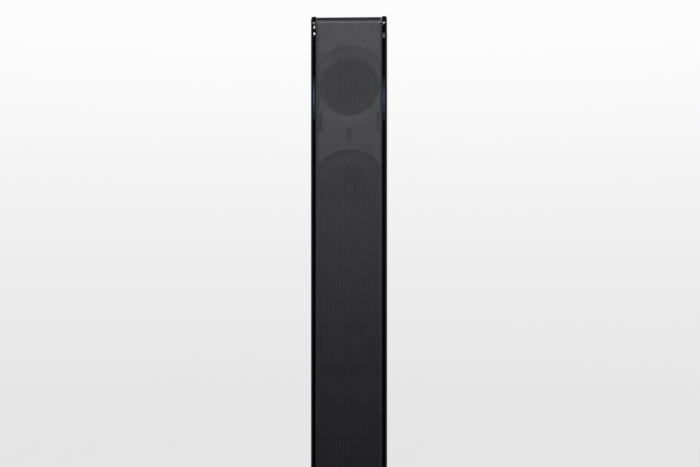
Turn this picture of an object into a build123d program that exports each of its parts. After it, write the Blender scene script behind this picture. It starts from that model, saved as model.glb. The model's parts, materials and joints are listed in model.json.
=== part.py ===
from build123d import *

import math
import os

# A slim floorstanding loudspeaker. Millimetres, +Z up, front towards -Y.
# The origin is on the floor, under the middle of the base.

# ---- Driving dimensions ----
total_height = 1100.0
column_width = 87.5
column_depth = 110.0
side_thickness = 6.0
base_width = 250.0
base_depth = 260.0
foot_height = 6.0
plate_thickness = 5.0
cover_thickness = 3.0
plinth_height = 20.0
board_thickness = 12.0
baffle_thickness = 10.0
rear_thickness = 6.0
upper_driver_z = 1021.0
lower_driver_z = 900.0
terminal_z = 150.0
post_spacing = 19.0

# ---- Worked out from them ----
front = -column_depth / 2
rear = column_depth / 2
inner_half = column_width / 2 - side_thickness
plate_top = foot_height + plate_thickness
cover_top = plate_top + cover_thickness
column_bottom = cover_top + plinth_height
cavity_bottom = column_bottom + board_thickness
cavity_top = total_height - 15.0
baffle_front = front + 17.0
baffle_rear = baffle_front + baffle_thickness
rear_inner = rear - rear_thickness
drivers = {"upper": upper_driver_z, "lower": lower_driver_z}

# ---- Grille ----
grille_front = front + 1.5
grille_sheet = 1.0
grille_back = grille_front + grille_sheet
grille_top = total_height - 1.0
grille_bottom = column_bottom + 3.0
grille_half = inner_half - 0.3
grille_wrap = 40.0
grille_bend = 7.0
grille_end = grille_front + grille_wrap
rail_width = 2.2
rail_depth = 6.0
tie_height = 6.0
peg_x = 33.7
peg_radius = 2.0
peg_levels = (100.0, 400.0, 700.0, 978.5)
peg_tip = baffle_front + 5.0
socket_radius = 3.6
tongue_z = 965.5

# ---- Baffle trim ----
trim_front = baffle_front - 6.0
trim_top = grille_top - 3.0
trim_arc = 46.4
dish_outer = 45.8
dish_inner = 35.3
notch_width = 4.5
notch_height = 22.0
tongue_slot = (6.0, 14.0)

# ---- Driver, as depths from the face of the baffle ----
flange_radius = 40.0
flange_half = 36.5
flange_thickness = 2.0
basket_hole = 33.0
driver_screw_circle = 37.3
cone_rim = 27.0
former_radius = 10.1
coil_radius = 10.5
pole_radius = 9.2
magnet_radius = 27.0
magnet_thickness = 10.0
tag_drop = 30.0

# ---- Cabinet ----
brace_thickness = 10.0
brace_levels = (60.0, 300.0, 560.0, 820.0, 1070.0)
rear_screw_x = 31.0

# ---- Base ----
foot_places = {
    "foot_front_left": (-100.0, -105.0),
    "foot_front_right": (100.0, -105.0),
    "foot_rear_left": (-100.0, 105.0),
    "foot_rear_right": (100.0, 105.0),
}
foot_radius = 9.0
plate_inset = 3.5
bolt_places = [(x, y) for x in (-22.0, 22.0) for y in (-30.0, 30.0)]
cover_screw_places = [(x, y) for x in (-85.0, 85.0) for y in (-60.0, 60.0)]
boss_radius = 4.0

# ---- Terminals and crossover ----
cup_half_x = 30.0
cup_half_z = 25.0
cup_wall = 2.0
cup_floor = rear - 16.0
cup_flange = 2.0
cup_screw_places = [(x, terminal_z + z) for x in (-33.3, 33.3) for z in (-29.0, 29.0)]
post_radius = 4.0
socket_bore = 2.0
post_bore_depth = 12.0
stud_length = 7.0
collar_radius = 5.5
collar_length = 4.0
knob_radius = 7.0
knob_length = 16.0
insert_radius = 5.45
terminals = {"positive": post_spacing / 2, "negative": -post_spacing / 2}
board_z = 240.0
board_half_x = 33.0
board_half_z = 45.0
board_sheet = 1.6
standoff_length = 6.0
board_face = rear_inner - standoff_length - board_sheet
standoff_places = [(x, board_z + z) for x in (-28.0, 28.0) for z in (-39.0, 39.0)]

parts = {}


# ---- Shapes used many times ----
def block(x0, x1, y0, y1, z0, z1):
    centre = Pos((x0 + x1) / 2, (y0 + y1) / 2, (z0 + z1) / 2)
    return centre * Box(x1 - x0, y1 - y0, z1 - z0)


def rod_y(x, z, y0, y1, radius):
    return Pos(x, (y0 + y1) / 2, z) * Rot(90, 0, 0) * Cylinder(radius, abs(y1 - y0))


def rod_z(x, y, z0, z1, radius):
    return Pos(x, y, (z0 + z1) / 2) * Cylinder(radius, z1 - z0)


def joined(shapes):
    whole = shapes[0]
    for shape in shapes[1:]:
        whole = whole + shape
    return whole


def turned(lines, x, z):
    """A closed outline of (radius, y), turned about an axis along Y through (x, z)."""
    return Pos(x, 0, z) * revolve(make_face(lines), Axis.Y)


def turned_points(points, x, z):
    return turned(Polyline(*points, close=True), x, z)


def slab(width, depth, corner, z0, z1):
    return Pos(0, 0, z0) * extrude(RectangleRounded(width, depth, corner), z1 - z0)


def cross_recess(x, z, face, size, depth):
    """The cross in the head of a screw that faces the rear."""
    wide = block(x - size, x + size, face - depth, face, z - size / 4, z + size / 4)
    tall = block(x - size / 4, x + size / 4, face - depth, face, z - size, z + size)
    return wide + tall


# ---- Base ----
def base_pieces():
    plate_width = base_width - 2 * plate_inset
    plate_depth = base_depth - 2 * plate_inset
    plate = slab(plate_width, plate_depth, 26.5, foot_height, plate_top)
    cover = slab(base_width, base_depth, 30.0, foot_height, cover_top)
    cover = fillet(cover.faces().sort_by(Axis.Z)[-1].edges(), 2.4)
    cover -= slab(plate_width + 1, plate_depth + 1, 27.0, foot_height, plate_top)
    screws = []
    for x, y in cover_screw_places:
        plate -= rod_z(x, y, foot_height, plate_top, boss_radius + 0.3)
        cover += rod_z(x, y, foot_height + 0.5, plate_top + 1, boss_radius)
        cover -= rod_z(x, y, foot_height, plate_top, 1.3)
        head = rod_z(x, y, foot_height - 1.9, foot_height, 5.2)
        slot = block(x - 3, x + 3, y - 0.5, y + 0.5, foot_height - 1.9, foot_height - 0.9)
        screws.append(head - slot + rod_z(x, y, foot_height, plate_top - 0.5, 1.25))
    bolts = []
    for x, y in bolt_places:
        plate -= rod_z(x, y, foot_height, plate_top, 3.3)
        cover -= rod_z(x, y, plate_top, cover_top, 3.3)
        head = rod_z(x, y, foot_height - 3.3, foot_height, 5.2)
        key = Pos(x, y, foot_height - 3.3) * extrude(RegularPolygon(2.0, 6), 2.0)
        bolts.append(head - key + rod_z(x, y, foot_height, cavity_bottom - 2, 3.0))
    for name, (x, y) in foot_places.items():
        plate -= rod_z(x, y, foot_height, foot_height + 3, 3.0)
        pad = fillet(rod_z(x, y, 0, foot_height, foot_radius).edges().sort_by(Axis.Z)[0], 1.5)
        parts[name] = pad + rod_z(x, y, foot_height, foot_height + 2.8, 2.9)
    parts["base_plate"] = plate
    parts["base_cover"] = cover
    parts["base_cover_screws"] = joined(screws)
    parts["column_bolts"] = joined(bolts)


def plinth_piece():
    neck = slab(70.0, 92.0, 10.0, cover_top, column_bottom)
    for x, y in bolt_places:
        neck -= rod_z(x, y, cover_top, column_bottom, 3.3)
    parts["plinth"] = neck


# ---- Cabinet ----
def side_panel(side):
    """A glossy side wall whose front edge and top edge stand proud as a rounded rail."""
    outer = side * column_width / 2
    inner = side * inner_half
    panel = block(min(outer, inner), max(outer, inner), front, rear, column_bottom, total_height)
    top = panel.edges().filter_by(Axis.X).group_by(Axis.Z)[-1].sort_by(Axis.Y)
    panel = fillet(top[0], 8.0)
    top = panel.edges().filter_by(Axis.X).group_by(Axis.Z)[-1].sort_by(Axis.Y)
    panel = fillet(top[-1], 5.0)
    by_side = panel.faces().filter_by(Axis.X).sort_by(Axis.X)
    outside = by_side[-1] if side > 0 else by_side[0]
    panel = fillet(outside.edges(), 2.4)
    by_side = panel.faces().filter_by(Axis.X).sort_by(Axis.X)
    inside = by_side[0] if side > 0 else by_side[-1]
    return fillet(inside.edges(), 1.2)


def cabinet_walls():
    parts["left_side_panel"] = side_panel(-1)
    parts["right_side_panel"] = side_panel(1)
    floor = block(-inner_half, inner_half, baffle_front, rear, column_bottom, cavity_bottom)
    for x, y in bolt_places:
        floor -= rod_z(x, y, column_bottom, cavity_bottom, 3.05)
    parts["bottom_board"] = floor
    cap = block(-inner_half, inner_half, baffle_front, rear, cavity_top, trim_top)
    raised = block(-inner_half, inner_half, grille_end + 0.4, rear, trim_top - 1, grille_top)
    back_edge = raised.edges().filter_by(Axis.X).group_by(Axis.Z)[-1].sort_by(Axis.Y)[-1]
    parts["top_cap"] = cap + fillet(back_edge, 2.5)


def front_baffle():
    board = block(-inner_half, inner_half, baffle_front, baffle_rear, cavity_bottom, cavity_top)
    for centre in drivers.values():
        board -= rod_y(0, centre, baffle_front, baffle_rear, basket_hole)
        for x, z in screw_circle(centre):
            board -= rod_y(x, z, baffle_front, baffle_rear, 1.45)
    for level in peg_levels:
        for side in (-1, 1):
            board -= rod_y(side * peg_x, level, baffle_front, baffle_rear - 1, socket_radius)
    parts["front_baffle"] = board


def rear_panel():
    panel = block(-inner_half, inner_half, rear_inner, rear, cavity_bottom, cavity_top)
    gap = 0.3
    panel -= block(
        -cup_half_x - gap, cup_half_x + gap, rear_inner, rear,
        terminal_z - cup_half_z - gap, terminal_z + cup_half_z + gap,
    )
    for x, z in cup_screw_places:
        panel -= rod_y(x, z, rear_inner, rear, 1.45)
    for x, z in standoff_places:
        panel -= rod_y(x, z, rear_inner, rear_inner + 4, 1.25)
    screws = []
    for level in brace_levels:
        for side in (-1, 1):
            x = side * rear_screw_x
            sink = [(0, rear), (3.0, rear), (1.5, rear - 1.7), (1.5, rear - 16), (0, rear - 16)]
            screw = turned_points(sink, x, level)
            hole = [(0, rear), (3.05, rear), (1.55, rear - 1.7), (1.55, rear - 17), (0, rear - 17)]
            panel -= turned_points(hole, x, level)
            screws.append(screw - cross_recess(x, level, rear, 1.6, 1.0))
    parts["rear_panel"] = panel
    parts["rear_panel_screws"] = joined(screws)


def cabinet_braces():
    boards = []
    for level in brace_levels:
        low = level - brace_thickness / 2
        board = block(-inner_half, inner_half, baffle_rear, rear_inner, low, low + brace_thickness)
        window = extrude(RectangleRounded(48.0, 56.0, 8.0), brace_thickness)
        board -= Pos(0, 12.0, low) * window
        for side in (-1, 1):
            board -= rod_y(side * rear_screw_x, level, rear_inner - 11, rear_inner, 1.55)
        boards.append(board)
    parts["cabinet_braces"] = Compound(boards)


# ---- Baffle trim: a dished grey panel around the upper driver ----
def baffle_trim():
    low = lower_driver_z + math.sqrt(trim_arc**2 - inner_half**2)
    trim = block(-inner_half, inner_half, trim_front, baffle_front, low, trim_top)
    top_edge = trim.edges().filter_by(Axis.X).group_by(Axis.Z)[-1].sort_by(Axis.Y)[0]
    trim = fillet(top_edge, 3.0)
    trim -= rod_y(0, lower_driver_z, trim_front, baffle_front, trim_arc)
    floor = baffle_front - flange_thickness - 0.2
    dish = [(0, trim_front), (dish_outer, trim_front), (dish_inner, floor), (dish_inner, baffle_front)]
    trim -= turned_points(dish + [(0, baffle_front)], 0, upper_driver_z)
    recess = rod_y(0, upper_driver_z, floor, baffle_front, flange_radius + 0.3)
    wide = flange_half + 0.3
    trim -= recess & block(-wide, wide, floor, baffle_front, low, trim_top)
    for side in (-1, 1):
        x = side * peg_x
        notch_half = notch_width / 2
        level = peg_levels[-1]
        low_z = level - notch_height / 2
        trim -= block(x - notch_half, x + notch_half, trim_front, baffle_front, low_z, low_z + notch_height)
    wide, tall = tongue_slot
    slot = extrude(SlotOverall(tall, wide), trim_front - baffle_front)
    trim -= Pos(0, baffle_front, tongue_z) * Rot(90, 0, 0) * Rot(0, 0, 90) * mirror(slot, Plane.XY)
    parts["baffle_trim"] = trim


# ---- Grille: a perforated sheet that wraps over the top, on a peg frame ----
def grille_sheet_outline():
    """The sheet from the side, as a face in the YZ plane."""
    bend_z = grille_top - grille_bend
    bend_y = grille_front + grille_bend
    inner_bend = grille_bend - grille_sheet
    lines = [
        Line((grille_front, grille_bottom), (grille_front, bend_z)),
        CenterArc((bend_y, bend_z), grille_bend, 90, 90),
        Line((bend_y, grille_top), (grille_end, grille_top)),
        Line((grille_end, grille_top), (grille_end, grille_top - grille_sheet)),
        Line((grille_end, grille_top - grille_sheet), (bend_y, grille_top - grille_sheet)),
        CenterArc((bend_y, bend_z), inner_bend, 90, 90),
        Line((grille_back, bend_z), (grille_back, grille_bottom)),
        Line((grille_back, grille_bottom), (grille_front, grille_bottom)),
    ]
    return make_face(lines)


def grille_pieces():
    sheet = extrude(Plane.YZ * grille_sheet_outline(), grille_half, both=True)
    parts["grille_mesh"] = sheet
    rail_back = grille_back + rail_depth
    rail_low = grille_bottom + 2.0
    rail_top = grille_top - grille_bend - 1.0
    bars = []
    for side in (-1, 1):
        edge = side * grille_half
        inside = edge - side * rail_width
        bars.append(block(min(edge, inside), max(edge, inside), grille_back, rail_back, rail_low, rail_top))
        for level in peg_levels:
            lug_half = 9.0 if level == peg_levels[-1] else 5.0
            lug_inside = side * (peg_x - peg_radius)
            x0, x1 = sorted((inside, lug_inside))
            bars.append(block(x0, x1, rail_back - 3.5, rail_back, level - lug_half, level + lug_half))
            peg = rod_y(side * peg_x, level, rail_back, peg_tip, peg_radius)
            tip = peg.edges().sort_by(Axis.Y)[-1]
            bars.append(chamfer(tip, 0.8))
    tie_half = grille_half - rail_width
    tie_lows = [rail_low] + [level - tie_height / 2 for level in peg_levels[1:3]]
    for low in tie_lows:
        bars.append(block(-tie_half, tie_half, grille_back, grille_back + 3, low, low + tie_height))
    parts["grille_frame"] = joined(bars)
    tongue = block(-2.4, 2.4, grille_back, baffle_front - 1.5, tongue_z - 5.5, tongue_z + 5.5)
    parts["grille_centre_tongue"] = fillet(tongue.edges().filter_by(Axis.Y), 2.0)
    sockets = []
    for level in peg_levels:
        for side in (-1, 1):
            socket = rod_y(side * peg_x, level, baffle_front, baffle_rear - 1.5, socket_radius)
            socket -= rod_y(side * peg_x, level, baffle_front, baffle_front + 6.5, peg_radius + 0.1)
            sockets.append(socket)
    parts["grille_sockets"] = Compound(sockets)


# ---- Drivers ----
def screw_circle(centre):
    reach = driver_screw_circle * math.sqrt(0.5)
    return [(x, centre + z) for x in (-reach, reach) for z in (-reach, reach)]


def driver_basket(centre):
    face = baffle_front - flange_thickness
    land = baffle_front - 1.0
    ring_front = baffle_front + 18.5
    ring_rear = baffle_front + 20.0
    points = [
        (30.5, land), (34.5, land), (34.5, face), (flange_radius, face),
        (flange_radius, baffle_front), (32.4, baffle_front), (32.4, baffle_front + 2),
        (25.0, baffle_front + 18), (25.0, ring_rear), (12.0, ring_rear), (12.0, ring_front),
        (23.8, ring_front), (23.8, baffle_front + 17.6), (30.5, baffle_front + 2),
    ]
    basket = turned_points(points, 0, centre)
    trimmed = block(-flange_half, flange_half, face, ring_rear, centre - 41, centre + 41)
    basket = basket & trimmed
    window = block(-9, 9, baffle_front + 5, baffle_front + 16, 18, 36)
    for turn in (45, 135, 225, 315):
        basket -= Pos(0, 0, centre) * Rot(0, turn, 0) * window
    for x, z in screw_circle(centre):
        hole = [(0, face), (2.85, face), (1.45, face + 1.4), (1.45, face + 3), (0, face + 3)]
        basket -= turned_points(hole, x, z)
    tag = block(-3.5, 3.5, baffle_front + 9, baffle_front + 15, centre - 32.3, centre - 27.0)
    return basket + tag


def driver_screws(centre):
    face = baffle_front - flange_thickness
    screws = []
    for x, z in screw_circle(centre):
        outline = [(0, face), (2.8, face), (1.4, face + 1.4), (1.4, face + 11), (0, face + 11)]
        slots = Pos(x, 0, z) * (block(-1.5, 1.5, face, face + 0.9, -0.4, 0.4)
                                + block(-0.4, 0.4, face, face + 0.9, -1.5, 1.5))
        screws.append(turned_points(outline, x, z) - slots)
    return joined(screws)


def driver_motor(name, centre):
    plate_front = baffle_front + 20.0
    plate_rear = plate_front + 4.0
    magnet_rear = plate_rear + magnet_thickness
    yoke_rear = magnet_rear + 4.0
    plate = rod_y(0, centre, plate_front, plate_rear, 22.0)
    parts[f"{name}_top_plate"] = plate - rod_y(0, centre, plate_front, plate_rear, 10.9)
    magnet = rod_y(0, centre, plate_rear, magnet_rear, magnet_radius)
    magnet = chamfer(magnet.edges().group_by(Axis.Y)[-1], 1.2)
    parts[f"{name}_magnet"] = magnet - rod_y(0, centre, plate_rear, magnet_rear, 13.0)
    yoke = rod_y(0, centre, magnet_rear, yoke_rear, 23.0)
    yoke += rod_y(0, centre, plate_front, yoke_rear, pole_radius)
    yoke = chamfer(yoke.edges().group_by(Axis.Y)[-1], 1.0)
    parts[f"{name}_yoke"] = yoke - rod_y(0, centre, plate_front, yoke_rear, 3.0)


def driver_moving(name, centre):
    rim = baffle_front + 1.2
    neck = baffle_front + 13.0
    wall = 0.8
    inner = former_radius + 0.05
    middle = 17.0
    mid_y = baffle_front + 7.0
    cone = [
        Line((cone_rim, rim), (cone_rim, rim + wall)),
        ThreePointArc((cone_rim, rim + wall), (middle, mid_y + wall), (inner, neck + wall)),
        Line((inner, neck + wall), (inner, neck)),
        ThreePointArc((inner, neck), (middle, mid_y), (cone_rim, rim)),
    ]
    parts[f"{name}_cone"] = turned(cone, 0, centre)
    cap_reach = 12.5
    cap_rise = 5.0
    cap_radius = (cap_reach**2 + cap_rise**2) / (2 * cap_rise)
    cap_edge = baffle_front + 10.2
    shell = Sphere(cap_radius) - Sphere(cap_radius - 0.6)
    cap = Pos(0, cap_edge - cap_rise + cap_radius, centre) * shell
    parts[f"{name}_dust_cap"] = cap & rod_y(0, centre, cap_edge - 2 * cap_rise, cap_edge, cap_reach)
    former = rod_y(0, centre, neck - 0.5, baffle_front + 26, former_radius)
    winding = rod_y(0, centre, baffle_front + 19, baffle_front + 25, coil_radius)
    bore = rod_y(0, centre, neck - 1, baffle_front + 27, former_radius - 0.4)
    parts[f"{name}_voice_coil"] = former + winding - bore


def driver_suspension(name, centre):
    """The half-roll surround and the cup-shaped spider."""
    sheet = 0.6
    land = baffle_front - 1.0
    roll_y = land - sheet
    rim = baffle_front + 1.2
    inner, middle, outer = 26.9, 29.4, 31.9
    reach = outer - middle
    surround = [
        Polyline((inner, roll_y), (inner, rim - sheet), (25.8, rim - sheet), (25.8, rim),
                 (inner + sheet, rim), (inner + sheet, roll_y)),
        ThreePointArc((inner + sheet, roll_y), (middle, roll_y - reach + sheet), (outer - sheet, roll_y)),
        Polyline((outer - sheet, roll_y), (outer - sheet, land), (34.3, land), (34.3, roll_y),
                 (outer, roll_y)),
        ThreePointArc((outer, roll_y), (middle, roll_y - reach), (inner, roll_y)),
    ]
    parts[f"{name}_surround"] = turned(surround, 0, centre)
    base = baffle_front + 18.5
    disc = base - 3.2
    hub = former_radius + 0.05
    spider = [
        (hub, disc - sheet), (20.6, disc - sheet), (20.6, base - sheet), (23.5, base - sheet),
        (23.5, base), (20.0, base), (20.0, disc), (hub, disc),
    ]
    parts[f"{name}_spider"] = turned_points(spider, 0, centre)


def driver(name, centre):
    parts[f"{name}_basket"] = driver_basket(centre)
    parts[f"{name}_driver_screws"] = driver_screws(centre)
    driver_motor(name, centre)
    driver_moving(name, centre)
    driver_suspension(name, centre)


# ---- Terminals ----
def terminal_cup():
    low = terminal_z - cup_half_z
    high = terminal_z + cup_half_z
    cup = block(-cup_half_x, cup_half_x, cup_floor - cup_wall, rear, low, high)
    flange_plan = extrude(RectangleRounded(73.0, 66.0, 5.0), cup_flange)
    flange = Pos(0, rear + cup_flange, terminal_z) * Rot(90, 0, 0) * flange_plan
    rim = flange.edges().group_by(Axis.Y)[-1]
    cup += chamfer(rim, 0.8)
    hollow_x = cup_half_x - cup_wall
    hollow_z = cup_half_z - cup_wall
    hollow = extrude(RectangleRounded(2 * hollow_x, 2 * hollow_z, 5.0), 30.0)
    cup -= Pos(0, cup_floor + 30.0, terminal_z) * Rot(90, 0, 0) * hollow
    screws = []
    for x, z in cup_screw_places:
        cup -= rod_y(x, z, rear, rear + cup_flange, 1.5)
        face = rear + cup_flange + 1.8
        head = fillet(rod_y(x, z, rear + cup_flange, face, 2.7).edges().sort_by(Axis.Y)[-1], 0.8)
        shank = rod_y(x, z, rear - 10, rear + cup_flange, 1.4)
        screws.append(head - cross_recess(x, z, face, 1.5, 1.1) + shank)
    for x in terminals.values():
        cup -= rod_y(x, terminal_z, cup_floor - cup_wall, cup_floor, 2.6)
    parts["terminal_cup"] = cup
    parts["terminal_cup_screws"] = joined(screws)


def binding_post(name, x):
    """A metal post with a plug socket in its end, a screw insert and a fluted knob."""
    collar_end = cup_floor + collar_length
    post_end = rear + 3.0
    knob_low = collar_end + 0.5
    knob_end = knob_low + knob_length
    insert_low = knob_low + 2.5
    inside = cup_floor - cup_wall
    post = rod_y(x, terminal_z, cup_floor, collar_end, collar_radius)
    post += rod_y(x, terminal_z, collar_end, post_end, post_radius)
    post += rod_y(x, terminal_z, inside - stud_length, cup_floor, 2.5)
    nut_plan = extrude(RegularPolygon(4.5, 6), 3.0)
    post += Pos(x, inside, terminal_z) * Rot(90, 0, 0) * nut_plan
    post -= rod_y(x, terminal_z, post_end - post_bore_depth, post_end, socket_bore)
    wire_hole = Pos(x, collar_end + 1.6, terminal_z) * Cylinder(1.2, 3 * post_radius)
    parts[f"{name}_post"] = post - wire_hole
    insert = rod_y(x, terminal_z, insert_low, post_end, insert_radius)
    insert -= rod_y(x, terminal_z, insert_low, post_end, post_radius + 0.05)
    parts[f"{name}_insert"] = insert
    knob = fillet(rod_y(x, terminal_z, knob_low, knob_end, knob_radius).edges().sort_by(Axis.Y)[-1], 1.0)
    knob -= rod_y(x, terminal_z, knob_low, post_end + 0.1, insert_radius + 0.08)
    knob -= rod_y(x, terminal_z, post_end, knob_end, 2.7)
    flutes = 14
    for k in range(flutes):
        angle = 2 * math.pi * k / flutes
        reach = knob_radius + 0.45
        flute_x = x + reach * math.cos(angle)
        flute_z = terminal_z + reach * math.sin(angle)
        knob -= rod_y(flute_x, flute_z, knob_low + 2.0, knob_end, 1.0)
    parts[f"{name}_knob"] = knob


# ---- Crossover ----
def crossover():
    low = board_z - board_half_z
    high = board_z + board_half_z
    board = block(-board_half_x, board_half_x, board_face, board_face + board_sheet, low, high)
    standoffs = []
    for x, z in standoff_places:
        board -= rod_y(x, z, board_face, board_face + board_sheet, 1.3)
        spacer = rod_y(x, z, board_face + board_sheet, rear_inner, 3.0)
        screw = rod_y(x, z, board_face - 1.8, board_face, 2.7)
        shank = rod_y(x, z, board_face, rear_inner + 4, 1.2)
        standoffs.append(spacer + screw + shank)
    parts["crossover_board"] = board
    parts["crossover_standoffs"] = Compound(standoffs)
    coil = rod_y(-13, board_z, board_face - 14, board_face, 15.0)
    coil = chamfer(coil.edges().group_by(Axis.Y)[0], 1.0)
    parts["crossover_coil"] = coil - rod_y(-13, board_z, board_face - 14, board_face, 6.5)
    can_y = board_face - 7.0
    cans = []
    for x in (11.0, 25.0):
        can = rod_z(x, can_y, board_z - 17, board_z + 17, 6.5)
        leg = block(x - 0.5, x + 0.5, can_y, board_face, board_z - 18.5, board_z - 17)
        other = block(x - 0.5, x + 0.5, can_y, board_face, board_z + 17, board_z + 18.5)
        cans.append(fillet(can.edges().filter_by(GeomType.CIRCLE), 1.0) + leg + other)
    parts["crossover_capacitors"] = Compound(cans)
    resistor = block(-12, 12, board_face - 8.5, board_face, board_z - 31, board_z - 22)
    parts["crossover_resistor"] = chamfer(resistor.edges().filter_by(Axis.X), 0.6)


# ---- Leads and wadding ----
def lead(points, radii, radius):
    """A round lead along straight runs joined by arcs."""
    route = FilletPolyline(*points, radius=radii)
    section = Plane(route @ 0, z_dir=route % 0) * Circle(radius)
    return sweep(section, path=route)


def leads():
    """Two short leads from the posts to the crossover, and one long lead to each driver."""
    stud_end = cup_floor - cup_wall - stud_length
    low_end = board_z - 36
    wires = []
    for x in terminals.values():
        route = [
            (x, stud_end, terminal_z),
            (x, stud_end - 11, terminal_z),
            (x, stud_end - 8, low_end),
            (x, board_face, low_end),
        ]
        wires.append(lead(route, [9.0, 9.0], 1.3))
    parts["input_leads"] = Compound(wires)
    start_z = board_z + 32
    riser_y = board_face - 10.5
    for name, side in (("upper", -1), ("lower", 1)):
        tag_z = drivers[name] - tag_drop
        route = [
            (side * 12, board_face, start_z),
            (side * 12, riser_y, start_z),
            (side * 13, riser_y, tag_z - 38),
            (0, 4.0, tag_z),
            (0, baffle_front + 15.0, tag_z),
        ]
        parts[f"{name}_driver_lead"] = lead(route, [9.0, 28.0, 18.0], 1.8)


def wadding():
    gap = brace_thickness / 2 + 3
    for name, brace_below in (("upper", 2), ("lower", 1)):
        low, high = brace_levels[brace_below:brace_below + 2]
        pad = block(-35, 35, baffle_rear + 2, 27.0, low + gap, high - gap)
        parts[f"{name}_wadding"] = fillet(pad.edges(), 9.0)


base_pieces()
plinth_piece()
cabinet_walls()
front_baffle()
rear_panel()
cabinet_braces()
baffle_trim()
grille_pieces()
for driver_name, driver_z in drivers.items():
    driver(driver_name, driver_z)
terminal_cup()
for terminal_name, terminal_x in terminals.items():
    binding_post(terminal_name, terminal_x)
crossover()
leads()
wadding()

os.makedirs("parts", exist_ok=True)
for part_name, part_shape in parts.items():
    export_step(part_shape, f"parts/{part_name}.step")
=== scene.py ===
import json
import math
import random

import bpy
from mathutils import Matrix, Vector


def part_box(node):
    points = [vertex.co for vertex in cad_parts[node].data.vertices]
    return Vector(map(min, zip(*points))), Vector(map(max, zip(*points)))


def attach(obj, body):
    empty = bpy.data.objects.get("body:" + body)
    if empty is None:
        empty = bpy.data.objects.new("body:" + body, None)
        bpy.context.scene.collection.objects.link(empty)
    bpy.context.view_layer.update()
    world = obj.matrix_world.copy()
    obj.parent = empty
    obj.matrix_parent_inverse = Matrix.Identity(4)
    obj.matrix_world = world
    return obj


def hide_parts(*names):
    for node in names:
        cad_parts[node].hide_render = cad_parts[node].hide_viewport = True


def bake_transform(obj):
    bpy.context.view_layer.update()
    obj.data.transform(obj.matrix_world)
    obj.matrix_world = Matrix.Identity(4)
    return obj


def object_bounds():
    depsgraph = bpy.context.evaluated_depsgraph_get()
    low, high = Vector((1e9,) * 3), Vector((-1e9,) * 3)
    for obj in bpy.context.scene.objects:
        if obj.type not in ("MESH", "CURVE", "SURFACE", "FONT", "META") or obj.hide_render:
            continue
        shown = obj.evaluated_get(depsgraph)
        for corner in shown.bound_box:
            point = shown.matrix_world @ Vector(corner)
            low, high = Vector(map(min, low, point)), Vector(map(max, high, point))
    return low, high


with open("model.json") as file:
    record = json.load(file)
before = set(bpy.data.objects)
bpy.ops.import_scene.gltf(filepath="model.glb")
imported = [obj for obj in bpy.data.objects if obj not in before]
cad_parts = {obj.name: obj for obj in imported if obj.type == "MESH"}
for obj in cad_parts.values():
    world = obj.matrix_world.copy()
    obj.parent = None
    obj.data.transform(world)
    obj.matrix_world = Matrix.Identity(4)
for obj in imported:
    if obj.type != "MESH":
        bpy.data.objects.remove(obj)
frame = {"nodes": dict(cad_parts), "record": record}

cad_low, cad_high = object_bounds()
nodes = frame["nodes"]
MM = 0.001
HOLE_PITCH = 2 * MM
HOLE_RADIUS = 0.78 * MM
SHEET_THICKNESS = 1 * MM
SHEET_BEND = 7 * MM
SHEET_MARGIN = 2 * MM
WAVE_LENGTH = 0.314


# ---- The perforated sheet's layout ----
def sheet_length():
    """From the sheet's bottom edge, up its front, round its bend and back to its end."""
    low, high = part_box("grille_mesh")
    return high[2] - low[2] + high[1] - low[1] - 2 * SHEET_BEND + SHEET_BEND * math.pi / 2


def hole_rows():
    room = sheet_length() - 2 * SHEET_MARGIN - 2 * HOLE_RADIUS - HOLE_PITCH / 2
    return int(room / HOLE_PITCH) + 1


def first_hole():
    """How far the middle column's first hole centre is from the sheet's bottom edge."""
    return (sheet_length() - (hole_rows() - 0.5) * HOLE_PITCH) / 2


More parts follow.
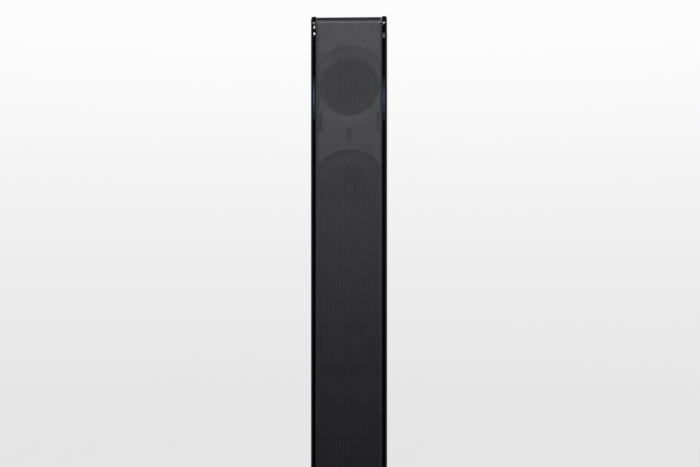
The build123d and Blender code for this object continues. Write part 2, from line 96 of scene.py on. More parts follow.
# ---- Materials ----
class Recipe:
    """One material: a Principled shader and the node chains that feed it, in the object's own metres."""

    def __init__(self, name):
        self.material = bpy.data.materials.new(name)
        self.material.use_nodes = True
        self.tree = self.material.node_tree
        self.shader = self.tree.nodes["Principled BSDF"]
        self.place = self.add("ShaderNodeTexCoord").outputs["Object"]

    def add(self, kind, **settings):
        node = self.tree.nodes.new(kind)
        for key, value in settings.items():
            setattr(node, key, value)
        return node

    def join(self, source, target):
        self.tree.links.new(source, target)

    def stretched(self, stretch):
        mapping = self.add("ShaderNodeMapping")
        mapping.inputs["Scale"].default_value = stretch
        self.join(self.place, mapping.inputs["Vector"])
        return mapping.outputs["Vector"]

    def noise(self, size, detail=3.0, stretch=(1, 1, 1)):
        """Noise whose features are about size metres across."""
        node = self.add("ShaderNodeTexNoise")
        node.inputs["Scale"].default_value = 1 / size
        node.inputs["Detail"].default_value = detail
        self.join(self.stretched(stretch), node.inputs["Vector"])
        return node.outputs["Fac"]

    def cells(self, size):
        node = self.add("ShaderNodeTexVoronoi")
        node.inputs["Scale"].default_value = 1 / size
        self.join(self.place, node.inputs["Vector"])
        return node.outputs["Distance"]

    def bands(self, size, direction):
        """Bands size metres apart: at scale 1 the texture's are WAVE_LENGTH apart."""
        node = self.add("ShaderNodeTexWave", bands_direction=direction)
        node.inputs["Scale"].default_value = WAVE_LENGTH / size
        self.join(self.place, node.inputs["Vector"])
        return node.outputs["Fac"]

    def ramp(self, value, start, end, low, high):
        """Goes from low, where the value is start, to high, where it is end, and no further."""
        node = self.add("ShaderNodeMapRange")
        node.inputs["From Min"].default_value = start
        node.inputs["From Max"].default_value = end
        node.inputs["To Min"].default_value = low
        node.inputs["To Max"].default_value = high
        self.join(value, node.inputs["Value"])
        return node.outputs["Result"]

    def spread(self, value, low, high):
        """From low to high over 0.3 to 0.7, where most of a noise's values are."""
        return self.ramp(value, 0.3, 0.7, low, high)

    def height(self):
        node = self.add("ShaderNodeSeparateXYZ")
        self.join(self.place, node.inputs[0])
        return node.outputs["Z"]

    def combined(self, first, second, operation="ADD"):
        node = self.add("ShaderNodeMath", operation=operation)
        self.join(first, node.inputs[0])
        self.join(second, node.inputs[1])
        return node.outputs["Value"]

    def colours(self, factor, first, second):
        node = self.add("ShaderNodeMix", data_type="RGBA")
        self.join(self.spread(factor, 0, 1), node.inputs["Factor"])
        node.inputs["A"].default_value = (*first, 1)
        node.inputs["B"].default_value = (*second, 1)
        self.join(node.outputs["Result"], self.shader.inputs["Base Color"])

    def roughness(self, factor, low, high):
        self.join(self.spread(factor, low, high), self.shader.inputs["Roughness"])

    def bump(self, height, depth, strength):
        node = self.add("ShaderNodeBump")
        node.inputs["Strength"].default_value = strength
        node.inputs["Distance"].default_value = depth
        self.join(height, node.inputs["Height"])
        self.join(node.outputs["Normal"], self.shader.inputs["Normal"])


def shade(colour, factor):
    return tuple(c * factor for c in colour)


def gloss_black():
    """Piano lacquer, black with a little blue, with faint orange peel and a clear coat."""
    made = Recipe("gloss_black")
    cloud = made.noise(0.06)
    made.colours(cloud, (0.0030, 0.0033, 0.0052), (0.0048, 0.0052, 0.0080))
    made.roughness(made.noise(0.012), 0.008, 0.022)
    made.bump(made.noise(0.005, 1.0), 0.00002, 0.04)
    made.shader.inputs["Coat Weight"].default_value = 0.2
    made.shader.inputs["Coat Roughness"].default_value = 0.02
    return made.material


def hole_pattern(made):
    """Three crossed waves that are highest, 3, at the hole centres and lowest, -1.5, between them."""
    low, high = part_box("grille_mesh")
    lattice = 4 * math.pi / (math.sqrt(3) * HOLE_PITCH)
    waves = []
    for degrees in (0, 60, 120):
        angle = math.radians(degrees)
        along = made.add("ShaderNodeVectorMath", operation="DOT_PRODUCT")
        made.join(made.place, along.inputs[0])
        along.inputs[1].default_value = (lattice * math.cos(angle), 0, lattice * math.sin(angle))
        shift = made.add("ShaderNodeMath", operation="SUBTRACT")
        made.join(along.outputs["Value"], shift.inputs[0])
        shift.inputs[1].default_value = lattice * math.sin(angle) * (low[2] + first_hole())
        wave = made.add("ShaderNodeMath", operation="COSINE")
        made.join(shift.outputs["Value"], wave.inputs[0])
        waves.append(wave.outputs["Value"])
    return made.combined(made.combined(waves[0], waves[1]), waves[2])


def grille_paint():
    """Satin dark grey powder coat on punched steel, rounded over towards each hole's edge, with painted shade
    that makes it darker towards each hole's edge.
    """
    made = Recipe("grille_paint")
    made.roughness(made.noise(0.002), 0.30, 0.38)
    made.shader.inputs["Specular IOR Level"].default_value = 0.3
    holes = hole_pattern(made)
    # Painted shade: the colour is darkest at each hole's edge and lightest mid-web, standing in for the
    # rounded edges' shading; the noise adds random tone.
    hole_edge_painted_shade = made.ramp(holes, -1.3, 0.1, -0.2, 0.2)
    shading = made.combined(hole_edge_painted_shade, made.spread(made.noise(0.03), 0.48, 0.52))
    made.colours(shading, (0.148, 0.148, 0.163), (0.028, 0.028, 0.031))
    low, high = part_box("grille_mesh")
    bend_start = high[2] - SHEET_BEND
    upright = made.ramp(made.height(), bend_start, bend_start - HOLE_PITCH, 0, 1)
    rounding = made.combined(holes, upright, "MULTIPLY")
    grain = made.combined(made.noise(0.0006, 2.0), rounding, "SUBTRACT")
    made.bump(grain, 0.00008, 1.0)
    return made.material


def grained_plastic(name, colour, low, high):
    """Moulded plastic with a fine leather-like grain."""
    made = Recipe(name)
    grain = made.cells(0.0009)
    made.colours(made.noise(0.01), shade(colour, 0.85), shade(colour, 1.15))
    made.roughness(made.noise(0.004), low, high)
    made.bump(made.combined(grain, made.noise(0.0012)), 0.00006, 0.5)
    return made.material


def black_plastic():
    return grained_plastic("black_plastic", (0.020, 0.020, 0.021), 0.48, 0.62)


def trim_grey():
    return grained_plastic("trim_grey", (0.165, 0.165, 0.177), 0.38, 0.5)


def fibreboard(name, colour, low, high):
    """Fibreboard: short matted fibres, painted or bare."""
    made = Recipe(name)
    fibres = made.noise(0.0014, 6.0, (1, 1, 0.35))
    made.colours(fibres, shade(colour, 0.8), shade(colour, 1.2))
    made.roughness(fibres, low, high)
    made.bump(fibres, 0.00012, 0.6)
    return made.material


def black_board():
    return fibreboard("black_board", (0.016, 0.016, 0.017), 0.6, 0.8)


def raw_board():
    return fibreboard("raw_board", (0.42, 0.30, 0.19), 0.75, 0.9)


def metal(name, colour, low, high, stretch):
    """Metal with fine drawn or ground lines."""
    made = Recipe(name)
    lines = made.noise(0.0012, 4.0, stretch)
    made.colours(made.combined(lines, made.noise(0.02), "MULTIPLY"), shade(colour, 0.8), colour)
    made.roughness(lines, low, high)
    made.bump(lines, 0.00002, 0.4)
    made.shader.inputs["Metallic"].default_value = 1.0
    return made.material


def base_steel():
    return metal("base_steel", (0.42, 0.42, 0.43), 0.32, 0.5, (1, 0.05, 1))


def motor_steel():
    return metal("motor_steel", (0.62, 0.61, 0.58), 0.22, 0.36, (1, 0.3, 1))


def gold_brass():
    return metal("gold_brass", (0.86, 0.62, 0.26), 0.14, 0.26, (1, 0.2, 1))


def screw_black():
    """Black oxide on steel, worn a little lighter in patches."""
    made = Recipe("screw_black")
    wear = made.noise(0.0015)
    made.colours(wear, (0.020, 0.020, 0.022), (0.060, 0.058, 0.056))
    made.roughness(wear, 0.34, 0.5)
    made.bump(made.noise(0.0004), 0.00002, 0.4)
    made.shader.inputs["Metallic"].default_value = 0.7
    return made.material


def basket_paint():
    made = Recipe("basket_paint")
    made.colours(made.noise(0.008), (0.018, 0.018, 0.019), (0.028, 0.028, 0.029))
    made.roughness(made.noise(0.002), 0.35, 0.48)
    made.bump(made.noise(0.0007), 0.00003, 0.5)
    return made.material


def ferrite():
    """Ground ferrite: dark, dense, with small pale chips."""
    made = Recipe("ferrite")
    chips = made.cells(0.0016)
    made.colours(made.combined(chips, made.noise(0.006)), (0.07, 0.07, 0.075), (0.035, 0.035, 0.038))
    made.roughness(made.noise(0.002), 0.45, 0.6)
    made.bump(made.noise(0.0008, 5.0), 0.00005, 0.6)
    return made.material


def pulp(name, dark, light):
    """Pressed paper pulp: dull matted fibres."""
    made = Recipe(name)
    fibres = made.noise(0.0011, 8.0, (1, 0.5, 1))
    made.colours(fibres, dark, light)
    made.roughness(fibres, 0.55, 0.75)
    made.bump(fibres, 0.00008, 0.7)
    made.shader.inputs["Specular IOR Level"].default_value = 0.25
    return made.material


def cone_paper():
    return pulp("cone_paper", (0.009, 0.009, 0.010), (0.018, 0.018, 0.019))


def cap_paper():
    return pulp("cap_paper", (0.007, 0.007, 0.008), (0.015, 0.015, 0.016))


def rubber(name, colour, low, high):
    made = Recipe(name)
    made.colours(made.noise(0.006), shade(colour, 0.8), shade(colour, 1.25))
    made.roughness(made.noise(0.003), low, high)
    made.bump(made.noise(0.0005, 4.0), 0.00002, 0.6)
    return made.material


def surround_rubber():
    return rubber("surround_rubber", (0.010, 0.010, 0.011), 0.42, 0.55)


def rubber_black():
    return rubber("rubber_black", (0.018, 0.018, 0.018), 0.65, 0.8)


def cable_jacket():
    return rubber("cable_jacket", (0.20, 0.015, 0.015), 0.38, 0.5)


def spider_cloth():
    """Open cotton weave, stiffened with resin."""
    made = Recipe("spider_cloth")
    weave = made.combined(made.bands(0.0007, "X"), made.bands(0.0007, "Z"))
    made.colours(made.combined(weave, made.noise(0.004)), (0.36, 0.23, 0.08), (0.58, 0.42, 0.18))
    made.roughness(made.noise(0.003), 0.6, 0.8)
    made.bump(weave, 0.0001, 0.5)
    return made.material


def coil_former():
    """Enamelled copper wound on a former, so its colour and lines go round the coil."""
    made = Recipe("coil_former")
    turns = made.bands(0.00022, "Y")
    made.colours(turns, (0.42, 0.16, 0.06), (0.78, 0.40, 0.20))
    made.roughness(made.noise(0.001), 0.25, 0.4)
    made.bump(turns, 0.00005, 0.6)
    made.shader.inputs["Metallic"].default_value = 1.0
    return made.material


def copper_wire():
    made = Recipe("copper_wire")
    made.colours(made.noise(0.002), (0.50, 0.19, 0.07), (0.80, 0.40, 0.19))
    made.roughness(made.noise(0.001), 0.2, 0.34)
    made.bump(made.noise(0.0006), 0.00002, 0.4)
    made.shader.inputs["Metallic"].default_value = 1.0
    return made.material


def knob_plastic(name, colour):
    """Polished moulding with faint flow marks and handling marks."""
    made = Recipe(name)
    made.colours(made.noise(0.003), shade(colour, 0.85), shade(colour, 1.2))
    made.roughness(made.noise(0.001, 5.0), 0.16, 0.3)
    made.bump(made.noise(0.0008), 0.00002, 0.3)
    made.shader.inputs["Coat Weight"].default_value = 0.3
    return made.material


def red_plastic():
    return knob_plastic("red_plastic", (0.42, 0.010, 0.012))


def knob_black():
    return knob_plastic("knob_black", (0.014, 0.014, 0.015))


def circuit_board():
    """Brown phenolic board: paper layers with fine flecks."""
    made = Recipe("circuit_board")
    flecks = made.noise(0.0009, 6.0, (1, 1, 0.2))
    made.colours(flecks, (0.26, 0.15, 0.05), (0.38, 0.24, 0.09))
    made.roughness(flecks, 0.35, 0.5)
    made.bump(flecks, 0.00002, 0.4)
    return made.material


def capacitor_film():
    made = Recipe("capacitor_film")
    made.colours(made.noise(0.004), (0.012, 0.030, 0.16), (0.020, 0.045, 0.22))
    made.roughness(made.noise(0.0015), 0.2, 0.32)
    made.bump(made.noise(0.003), 0.00005, 0.4)
    return made.material


def resistor_ceramic():
    made = Recipe("resistor_ceramic")
    grain = made.noise(0.0007, 6.0)
    made.colours(grain, (0.62, 0.60, 0.54), (0.78, 0.76, 0.70))
    made.roughness(grain, 0.7, 0.85)
    made.bump(grain, 0.00008, 0.6)
    return made.material


def wadding():
    """Loose white polyester fibre."""
    made = Recipe("wadding")
    strands = made.combined(made.noise(0.0012, 9.0, (1, 0.3, 1)), made.noise(0.015))
    made.colours(strands, (0.62, 0.62, 0.60), (0.86, 0.86, 0.84))
    made.roughness(made.noise(0.004), 0.85, 0.97)
    made.bump(strands, 0.0012, 0.8)
    made.shader.inputs["Sheen Weight"].default_value = 0.4
    return made.material


MAKERS = (
    gloss_black, grille_paint, black_plastic, trim_grey, black_board, raw_board, base_steel, motor_steel,
    gold_brass, screw_black, basket_paint, ferrite, cone_paper, cap_paper, surround_rubber, rubber_black,
    cable_jacket, spider_cloth, coil_former, copper_wire, red_plastic, knob_black, circuit_board,
    capacitor_film, resistor_ceramic, wadding,
)
materials = {maker.__name__: maker() for maker in MAKERS}


def dress_nodes():
    """Gives every CAD node the material of its slot in the record."""
    for part in frame["record"]["subparts"]:
        mesh = nodes[part["node"]].data
        mesh.materials.clear()
        mesh.materials.append(materials[part["material_slot"]])


# ---- Making pieces ----
def new_piece(name, points, faces, slot, smooth_angle):
    mesh = bpy.data.meshes.new(name)
    mesh.from_pydata(points, [], faces)
    mesh.materials.append(materials[slot])
    mesh.shade_smooth()
    mesh.set_sharp_from_angle(angle=math.radians(smooth_angle))
    mesh.update()
    piece = bpy.data.objects.new(name, mesh)
    bpy.context.scene.collection.objects.link(piece)
    return piece


class PunchedSheet:
    """The grille's bent sheet: six-sided holes in columns, every other column half a pitch higher.

    A position is (x, along, depth): how far along the sheet from its bottom edge, and how deep into it.
    """

    def __init__(self):
        low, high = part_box("grille_mesh")
        self.half = high[0]
        self.front = low[1]
        self.bottom, self.top = low[2], high[2]
        self.straight = self.top - SHEET_BEND - self.bottom
        self.curve = SHEET_BEND * math.pi / 2
        self.length = sheet_length()
        self.column_step = HOLE_PITCH * math.sqrt(3) / 2
        self.side_columns = int((self.half - SHEET_MARGIN - HOLE_RADIUS) / self.column_step)
        self.columns = 2 * self.side_columns + 1
        self.rows = hole_rows()
        self.start = first_hole()
        self.levels = [self.start + (j - 0.5) * HOLE_PITCH for j in range(self.rows + 1)]
        crossings = [self.column_x(i) + self.column_step / 2 for i in range(self.columns - 1)]
        self.crossings = [-self.half, *crossings, self.half]
        self.points = []
        self.faces = []

    def place(self, x, along, depth=0.0):
        if along <= self.straight:
            return (x, self.front + depth, self.bottom + along)
        if along >= self.straight + self.curve:
            return (x, self.front + SHEET_BEND + along - self.straight - self.curve, self.top - depth)
        angle = (along - self.straight) / SHEET_BEND
        reach = SHEET_BEND - depth
        y = self.front + SHEET_BEND - reach * math.cos(angle)
        return (x, y, self.top - SHEET_BEND + reach * math.sin(angle))

    def add_points(self, positions):
        first = len(self.points)
        self.points.extend(self.place(*position) for position in positions)
        return list(range(first, len(self.points)))

    def column_x(self, i):
        return (i - self.side_columns) * self.column_step

    def hole_centre(self, i, j):
        return self.start + (j + 0.5 * (i % 2)) * HOLE_PITCH

    def hole_ring(self, i, j, depth=0.0):
        centre = self.hole_centre(i, j)
        ring = []
        for k in range(6):
            angle = math.radians(60 * k)
            x = self.column_x(i) + HOLE_RADIUS * math.cos(angle)
            ring.append((x, centre + HOLE_RADIUS * math.sin(angle), depth))
        return ring

    def corner(self, i, j, k):
        """The point at corner k of a hole. The holes' rings are the first points made."""
        return (i * self.rows + j) * 6 + k

    def add_holes(self):
        for i in range(self.columns):
            for j in range(self.rows):
                self.add_points(self.hole_ring(i, j))

    def add_hole_walls(self):
        """Only from halfway round the bend, where a view would pass through two layers of thin holes."""
        for i in range(self.columns):
            for j in range(self.rows):
                if self.hole_centre(i, j) < self.straight + self.curve / 2:
                    continue
                deep = self.add_points(self.hole_ring(i, j, SHEET_THICKNESS))
                for k in range(6):
                    after = (k + 1) % 6
                    near = (self.corner(i, j, k), self.corner(i, j, after))
                    self.faces.append((*near, deep[after], deep[k]))

    def add_outline(self):
        self.left = self.add_points([(-self.half, along) for along in self.levels])
        self.right = self.add_points([(self.half, along) for along in self.levels])
        self.foot = self.add_points([(x, 0) for x in self.crossings])
        self.head = self.add_points([(x, self.length) for x in self.crossings])

    def add_webs(self):
        """The narrow strips between each hole and the ones above it and to its right."""
        corner = self.corner
        for i in range(self.columns):
            for j in range(self.rows):
                if j + 1 < self.rows:
                    upper = (corner(i, j + 1, 5), corner(i, j + 1, 4))
                    self.faces.append((corner(i, j, 2), corner(i, j, 1), *upper))
                if i + 1 == self.columns:
                    continue
                above = j + i % 2
                below = above - 1
                if above < self.rows:
                    near = (corner(i + 1, above, 4), corner(i + 1, above, 3))
                    self.faces.append((corner(i, j, 1), corner(i, j, 0), *near))
                    if j + 1 < self.rows:
                        self.faces.append((corner(i, j, 1), near[1], corner(i, j + 1, 5)))
                if below >= 0:
                    near = (corner(i + 1, below, 3), corner(i + 1, below, 2))
                    self.faces.append((corner(i, j, 0), corner(i, j, 5), *near))
                    if above < self.rows:
                        self.faces.append((corner(i, j, 0), near[1], corner(i + 1, above, 4)))

    def add_side_margins(self):
        corner, left, right = self.corner, self.left, self.right
        last = self.columns - 1
        for j in range(self.rows):
            first_ring = (corner(0, j, 4), corner(0, j, 3), corner(0, j, 2))
            last_ring = (corner(last, j, 1), corner(last, j, 0), corner(last, j, 5))
            self.faces.append((left[j], *first_ring, left[j + 1]))
            self.faces.append((right[j + 1], *last_ring, right[j]))
            if j + 1 < self.rows:
                self.faces.append((left[j + 1], corner(0, j, 2), corner(0, j + 1, 4)))
                self.faces.append((right[j + 1], corner(last, j + 1, 5), corner(last, j, 1)))

    def add_end_margins(self):
        corner, left, right = self.corner, self.left, self.right
        last = self.columns - 1
        final = self.rows - 1
        for i in range(self.columns):
            if i % 2:
                under = (corner(i + 1, 0, 3), corner(i, 0, 5), corner(i, 0, 4), corner(i - 1, 0, 0))
                over = tuple(corner(i, final, k) for k in (3, 2, 1, 0))
            else:
                first_under = right[0] if i == last else corner(i, 0, 0)
                last_under = left[0] if i == 0 else corner(i, 0, 3)
                under = (first_under, corner(i, 0, 5), corner(i, 0, 4), last_under)
                first_over = left[self.rows] if i == 0 else corner(i - 1, final, 0)
                last_over = right[self.rows] if i == last else corner(i + 1, final, 3)
                over = (first_over, corner(i, final, 2), corner(i, final, 1), last_over)
            self.faces.append((self.foot[i], self.foot[i + 1], *under))
            self.faces.append((self.head[i + 1], self.head[i], *over))

    def add_cut_edges(self):
        """The sheet's own thickness, along its two sides and its two ends."""
        alongs = [0, *self.levels, self.length]
        outline_left = [self.foot[0], *self.left, self.head[0]]
        outline_right = [self.foot[-1], *self.right, self.head[-1]]
        back_left = self.add_points([(-self.half, along, SHEET_THICKNESS) for along in alongs])
        back_right = self.add_points([(self.half, along, SHEET_THICKNESS) for along in alongs])
        for k in range(len(alongs) - 1):
            self.faces.append((outline_left[k + 1], back_left[k + 1], back_left[k], outline_left[k]))
            self.faces.append((outline_right[k], back_right[k], back_right[k + 1], outline_right[k + 1]))
        for row, along, turn in ((self.foot, 0, 1), (self.head, self.length, -1)):
            back = self.add_points([(x, along, SHEET_THICKNESS) for x in self.crossings])
            for k in range(len(row) - 1):
                self.faces.append((row[k], back[k], back[k + 1], row[k + 1])[::turn])


def perforated_grille():
    made = PunchedSheet()
    made.add_holes()
    made.add_hole_walls()
    made.add_outline()
    made.add_webs()
    made.add_side_margins()
    made.add_end_margins()
    made.add_cut_edges()
    sheet = new_piece("perforated_grille", made.points, made.faces, "grille_paint", 30)
    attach(sheet, "grille")
    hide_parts("grille_mesh")


def lathe(name, profile, x, z, slot, steps, smooth_angle=35):
    """A closed outline of (radius, y) turned about an axis along Y."""
    points, faces = [], []
    count = len(profile)
    for s in range(steps):
        angle = 2 * math.pi * s / steps
        for radius, y in profile:
            points.append((x + radius * math.cos(angle), y, z + radius * math.sin(angle)))
    for s in range(steps):
        for k in range(count):
            here = s * count
            there = ((s + 1) % steps) * count
            after = (k + 1) % count
            faces.append((here + k, here + after, there + after, there + k))
    return new_piece(name, points, faces, slot, smooth_angle)


def sheet_profile(middle, thickness):
    """A closed outline round a middle line, half the thickness to each side."""
    sides = ([], [])
    for k in range(len(middle)):
        before = Vector(middle[max(k - 1, 0)])
        after = Vector(middle[min(k + 1, len(middle) - 1)])
        along = (after - before).normalized()
        across = Vector((-along.y, along.x)) * thickness / 2
        point = Vector(middle[k])
        sides[0].append(tuple(point + across))
        sides[1].append(tuple(point - across))
    return sides[0] + sides[1][::-1]


def arc(centre, radius, start, end, steps):
    made = []
    for k in range(steps + 1):
        angle = math.radians(start + (end - start) * k / steps)
        made.append((centre[0] + radius * math.cos(angle), centre[1] + radius * math.sin(angle)))
    return made


def driver_axis(name):
    low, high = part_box(f"{name}_surround")
    return (low[0] + high[0]) / 2, (low[2] + high[2]) / 2


def half_roll(name):
    """The rubber roll that flexes between the cone and the basket's rim."""
    low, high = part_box(f"{name}_surround")
    x, z = driver_axis(name)
    outer = high[0] - x
    sheet = 0.6 * MM
    roll_radius = 2.2 * MM
    roll_centre = (outer - 4.9 * MM, low[1] + 2.5 * MM)
    glue_inner = outer - 8.5 * MM
    flat = 0.3 * MM
    cone_side = high[1] - sheet / 2
    land = roll_centre[1] + sheet / 2
    line = [(glue_inner, cone_side), (roll_centre[0] - roll_radius - flat, cone_side)]
    line += arc(roll_centre, roll_radius, 180, 360, 20)
    line += [(roll_centre[0] + roll_radius + flat, land), (outer, land)]
    roll = lathe(f"{name}_half_roll", sheet_profile(line, sheet), x, z, "surround_rubber", 128)
    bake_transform(roll)
    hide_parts(f"{name}_surround")


def corrugated_spider(name):
    """The cloth disc that flexes between the voice coil and the basket, with rings deepest halfway out."""
    low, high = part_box(f"{name}_spider")
    x, z = driver_axis(name)
    outer = high[0] - x
    cloth = 0.42 * MM
    inset = 0.3 * MM
    hub = 10.15 * MM
    rise_at = outer - 3.2 * MM
    disc_y = low[1] + inset
    rim_y = high[1] - inset
    waves = 4
    wave_height = 0.7 * MM
    steps = 48
    line = []
    for k in range(steps + 1):
        t = k / steps
        swell = 0.4 + 0.6 * math.sin(math.pi * t)
        y = disc_y + wave_height * (1 - math.cos(2 * math.pi * waves * t)) / 2 * swell
        line.append((hub + t * (rise_at - hub), y))
    line += [(rise_at + 0.3 * MM, disc_y + 0.4 * MM), (rise_at + 0.5 * MM, rim_y - 0.3 * MM)]
    line += [(rise_at + 0.9 * MM, rim_y), (outer, rim_y)]
    spider = lathe(f"{name}_corrugated_spider", sheet_profile(line, cloth), x, z, "spider_cloth", 96)
    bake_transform(spider)
    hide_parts(f"{name}_spider")


def wound_coil():
    """The crossover's coil: layers of wire round a bobbin, with ridges where the turns show."""
    low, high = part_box("crossover_coil")
    x, z = (low[0] + high[0]) / 2, (low[2] + high[2]) / 2
    outer = high[0] - x
    bore = 6.5 * MM
    wire = 0.9 * MM
    turns = int((high[1] - low[1]) / wire)
    layers = int((outer - bore) / wire)
    ridge = wire / 2
    line = []
    for k in range(turns):
        centre = (outer - ridge, low[1] + (k + 0.5) * (high[1] - low[1]) / turns)
        line += arc(centre, ridge, -75, 75, 5)
    for k in range(layers):
        centre = (outer - ridge - (k + 0.5) * (outer - ridge - bore) / layers, high[1] - ridge)
        line += arc(centre, ridge, 15, 165, 5)
    line += [(bore, high[1] - ridge), (bore, low[1] + ridge)]
    for k in range(layers):
        centre = (bore + (k + 0.5) * (outer - ridge - bore) / layers, low[1] + ridge)
        line += arc(centre, ridge, 195, 345, 5)
    coil = lathe("wound_coil", line, x, z, "copper_wire", 72, 60)
    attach(coil, "cabinet")
    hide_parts("crossover_coil")


def soft_point(p, dents, rounding):
    """A point of a cube from -1 to 1, with the cube's edges rounded and its faces pressed in at each dent."""
    dent_reach = 0.35
    most_pressed = 1.4
    inner = Vector(tuple(max(-1 + rounding, min(1 - rounding, c)) for c in p))
    outward = p - inner
    if outward.length > 0:
        p = inner + outward.normalized() * min(outward.length, rounding)
    press = 0.0
    for spot, weight in dents:
        away = (p - spot).length
        press += weight * math.exp(-((away / dent_reach) ** 2))
    return p * (0.985 - 0.05 * min(press, most_pressed))


def random_dent():
    spot = Vector((random.uniform(-1, 1), random.uniform(-1, 1), random.uniform(-1, 1)))
    return spot, random.uniform(0.5, 1)


def padded_blanket(name):
    """A folded blanket of fibre wadding: a soft block with rounded edges and shallow dents."""
    low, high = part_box(f"{name}_wadding")
    centre = (Vector(low) + Vector(high)) / 2
    size = (Vector(high) - Vector(low)) / 2
    bpy.ops.mesh.primitive_cube_add(size=2)
    piece = bpy.context.object
    piece.name = f"{name}_fibre_blanket"
    piece.data.name = piece.name
    divide = piece.modifiers.new("divide", "SUBSURF")
    divide.subdivision_type = "SIMPLE"
    divide.levels = 5
    bpy.ops.object.modifier_apply(modifier=divide.name)
    random.seed(name)
    dents = [random_dent() for _ in range(26)]
    for vertex in piece.data.vertices:
        p = soft_point(vertex.co.copy(), dents, 0.22)
        vertex.co = centre + Vector((p.x * size.x, p.y * size.y, p.z * size.z))
    piece.data.materials.append(materials["wadding"])
    piece.data.shade_smooth()
    soften = piece.modifiers.new("soften", "SUBSURF")
    soften.levels = 1
    soften.render_levels = 1
    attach(piece, "cabinet")
    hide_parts(f"{name}_wadding")


# ---- Stage, lights and camera ----
def pale_stage_material():
    """Pale paint with painted light: it glows a little, more away from the middle of the floor and up the
    wall.
    """
    made = Recipe("pale_stage")
    made.colours(made.noise(0.5), (0.24, 0.24, 0.245), (0.26, 0.26, 0.262))
    made.roughness(made.noise(0.2), 0.85, 0.95)
    made.bump(made.noise(0.01), 0.0002, 0.2)
    flat = made.add("ShaderNodeVectorMath", operation="MULTIPLY")
    made.join(made.place, flat.inputs[0])
    flat.inputs[1].default_value = (1, 1, 0)
    reach = made.add("ShaderNodeVectorMath", operation="LENGTH")
    made.join(flat.outputs["Vector"], reach.inputs[0])
    # Painted light: this glow stands in for the studio's light on the floor and up the wall.
    floor_glow = made.ramp(reach.outputs["Value"], 0.3, 2.4, 0.60, 0.77)
    wall_glow = made.ramp(made.height(), 0.0, 1.9, 0.0, 0.20)
    made.shader.inputs["Emission Color"].default_value = (1.0, 1.0, 1.0, 1)
    made.join(made.combined(floor_glow, wall_glow), made.shader.inputs["Emission Strength"])
    return made.material


def stage():
    """A round studio: a pale floor that sweeps up into a pale wall on every side. Only the camera sees it."""
    wall, bend, height, steps = 4.4, 1.8, 7.0, 96
    profile = [(0.02, 0.0), (wall - bend, 0.0)]
    profile += [(wall - bend + r, z + bend) for r, z in arc((0, 0), bend, -90, 0, 24)[1:]]
    profile.append((wall, height))
    points, faces = [], []
    for s in range(steps):
        angle = 2 * math.pi * s / steps
        points += [(r * math.cos(angle), r * math.sin(angle), z) for r, z in profile]
    count = len(profile)
    for s in range(steps):
        here, there = s * count, (s + 1) % steps * count
        faces += [(here + k, there + k, there + k + 1, here + k + 1) for k in range(count - 1)]
    faces.append(tuple(s * count for s in range(steps)))
    mesh = bpy.data.meshes.new("pale_stage")
    mesh.from_pydata(points, [], faces)
    mesh.materials.append(pale_stage_material())
    mesh.shade_smooth()
    studio = bpy.data.objects.new("pale_stage", mesh)
    studio.visible_glossy = False
    studio.visible_diffuse = False
    bpy.context.scene.collection.objects.link(studio)


def area_light(name, place, target, size, power, colour=(1, 1, 1), height=None):
    data = bpy.data.lights.new(name, "AREA")
    data.energy = power
    data.color = colour
    data.size = size
    if height is not None:
        data.shape = "RECTANGLE"
        data.size_y = height
    lamp = bpy.data.objects.new(name, data)
    lamp.location = place
    direction = Vector(target) - Vector(place)
    lamp.rotation_euler = direction.to_track_quat("-Z", "Y").to_euler()
    lamp.visible_camera = False
    bpy.context.scene.collection.objects.link(lamp)
    return lamp


def lights():
    """A light close above the front, soft lights behind, and what the glossy rails reflect."""
    top = cad_high[2]
    front = cad_low[1]
    key_place = (-0.04, front - 0.9, top + 0.45)
    key = area_light("key_above_front", key_place, (0, front, top - 0.125), 0.12, 0.82)
    key.data.spread = math.radians(60)
    for side in (-1, 1):
        for name, x, y, power in (("side", 2.0, 0.9, 5), ("behind", 1.3, 2.2, 6)):
            lamp = area_light(f"{name}_{side}", (side * x, y, 1.5), (0, 0, 0.7), 1.0, power)
            lamp.data.spread = math.radians(80)
            lamp.visible_glossy = False
    reflected_lights(top, front)
    room_light()


def reflected_lights(top, front):
    """A bluish glow, brightest at its middle height, with two points, a patch and a line above it."""
    for step, tall, power in ((0, 0.15, 0.20), (1, 0.09, 0.12), (2, 0.045, 0.077)):
        glow = (-0.10, front - 2.345 + step * 0.02, top + 0.240)
        area_light(f"window_glow_{step}", glow, (0, 0, top - 0.1), 0.9, power, (0.50, 0.68, 1.0), tall)
    for name, x, height, width, tall, power in (
        ("spot_high", -0.1995, 1.528, 0.005, 0.005, 0.003),
        ("spot_low", -0.1995, 1.506, 0.005, 0.005, 0.003),
        ("spot_right", 0.030, 1.499, 0.010, 0.014, 0.0012),
        ("bright_line", -0.084, 1.542, 0.8, 0.006, 0.14),
    ):
        area_light(name, (x, front - 2.0, height), (0, 0, top), width, power, height=tall)


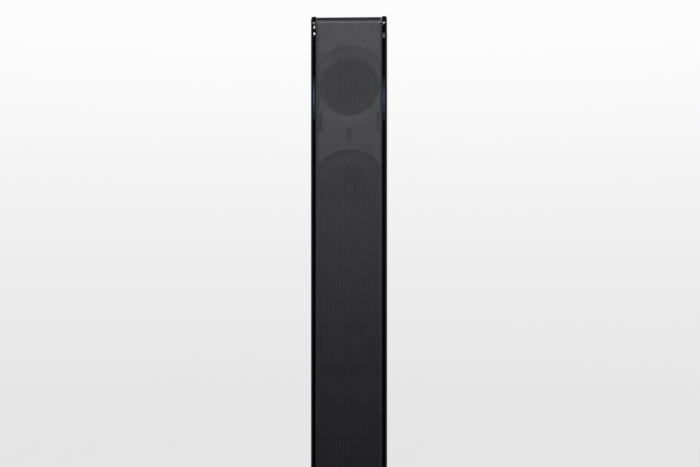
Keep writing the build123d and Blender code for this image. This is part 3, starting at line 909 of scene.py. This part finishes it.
def room_light():
    """What glossy things reflect: dim in front and below, brighter overhead, behind and at the sides."""
    world = bpy.data.worlds.new("soft_room")
    bpy.context.scene.world = world
    world.cycles_visibility.diffuse = False
    world.use_nodes = True
    tree = world.node_tree
    place = tree.nodes.new("ShaderNodeTexCoord")
    split = tree.nodes.new("ShaderNodeSeparateXYZ")
    tree.links.new(place.outputs["Generated"], split.inputs[0])
    aside = tree.nodes.new("ShaderNodeMath")
    aside.operation = "ABSOLUTE"
    tree.links.new(split.outputs["X"], aside.inputs[0])
    least = 0.004
    total = None
    for value, start, end, amount in (
        (split.outputs["Z"], 0.3, 1.0, 0.06),
        (split.outputs["Y"], 0.0, 0.9, 0.10),
        (aside.outputs["Value"], 0.35, 0.75, 0.38),
    ):
        ramp = tree.nodes.new("ShaderNodeMapRange")
        ramp.interpolation_type = "SMOOTHSTEP"
        ramp.inputs["From Min"].default_value = start
        ramp.inputs["From Max"].default_value = end
        ramp.inputs["To Max"].default_value = amount
        tree.links.new(value, ramp.inputs["Value"])
        added = tree.nodes.new("ShaderNodeMath")
        tree.links.new(ramp.outputs["Result"], added.inputs[0])
        if total is None:
            added.inputs[1].default_value = least
        else:
            tree.links.new(total.outputs["Value"], added.inputs[1])
        total = added
    tree.links.new(total.outputs["Value"], tree.nodes["Background"].inputs["Strength"])
    tree.nodes["Background"].inputs["Color"].default_value = (0.90, 0.95, 1.0, 1)


def camera():
    """At the height of the upper half, turned a little to the right of the object's own axis."""
    lens = 50.0
    distance = 1.117
    below_top = 0.2511
    turn = math.radians(2.4)
    height = cad_high[2] - below_top
    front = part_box("left_side_panel")[0][1]
    data = bpy.data.cameras.new("camera")
    data.lens = lens
    data.sensor_width = 36.0
    eye = bpy.data.objects.new("camera", data)
    eye.location = (distance * math.sin(turn), front - distance * math.cos(turn), height)
    aside = math.radians(0.07)
    eye.rotation_euler = (math.pi / 2, 0, turn - aside)
    bpy.context.scene.collection.objects.link(eye)
    bpy.context.scene.camera = eye


stage()
camera()
lights()
bpy.context.scene.view_settings.view_transform = "Standard"
dress_nodes()
perforated_grille()
for driver in ("upper", "lower"):
    half_roll(driver)
    corrugated_spider(driver)
    padded_blanket(driver)
wound_coil()
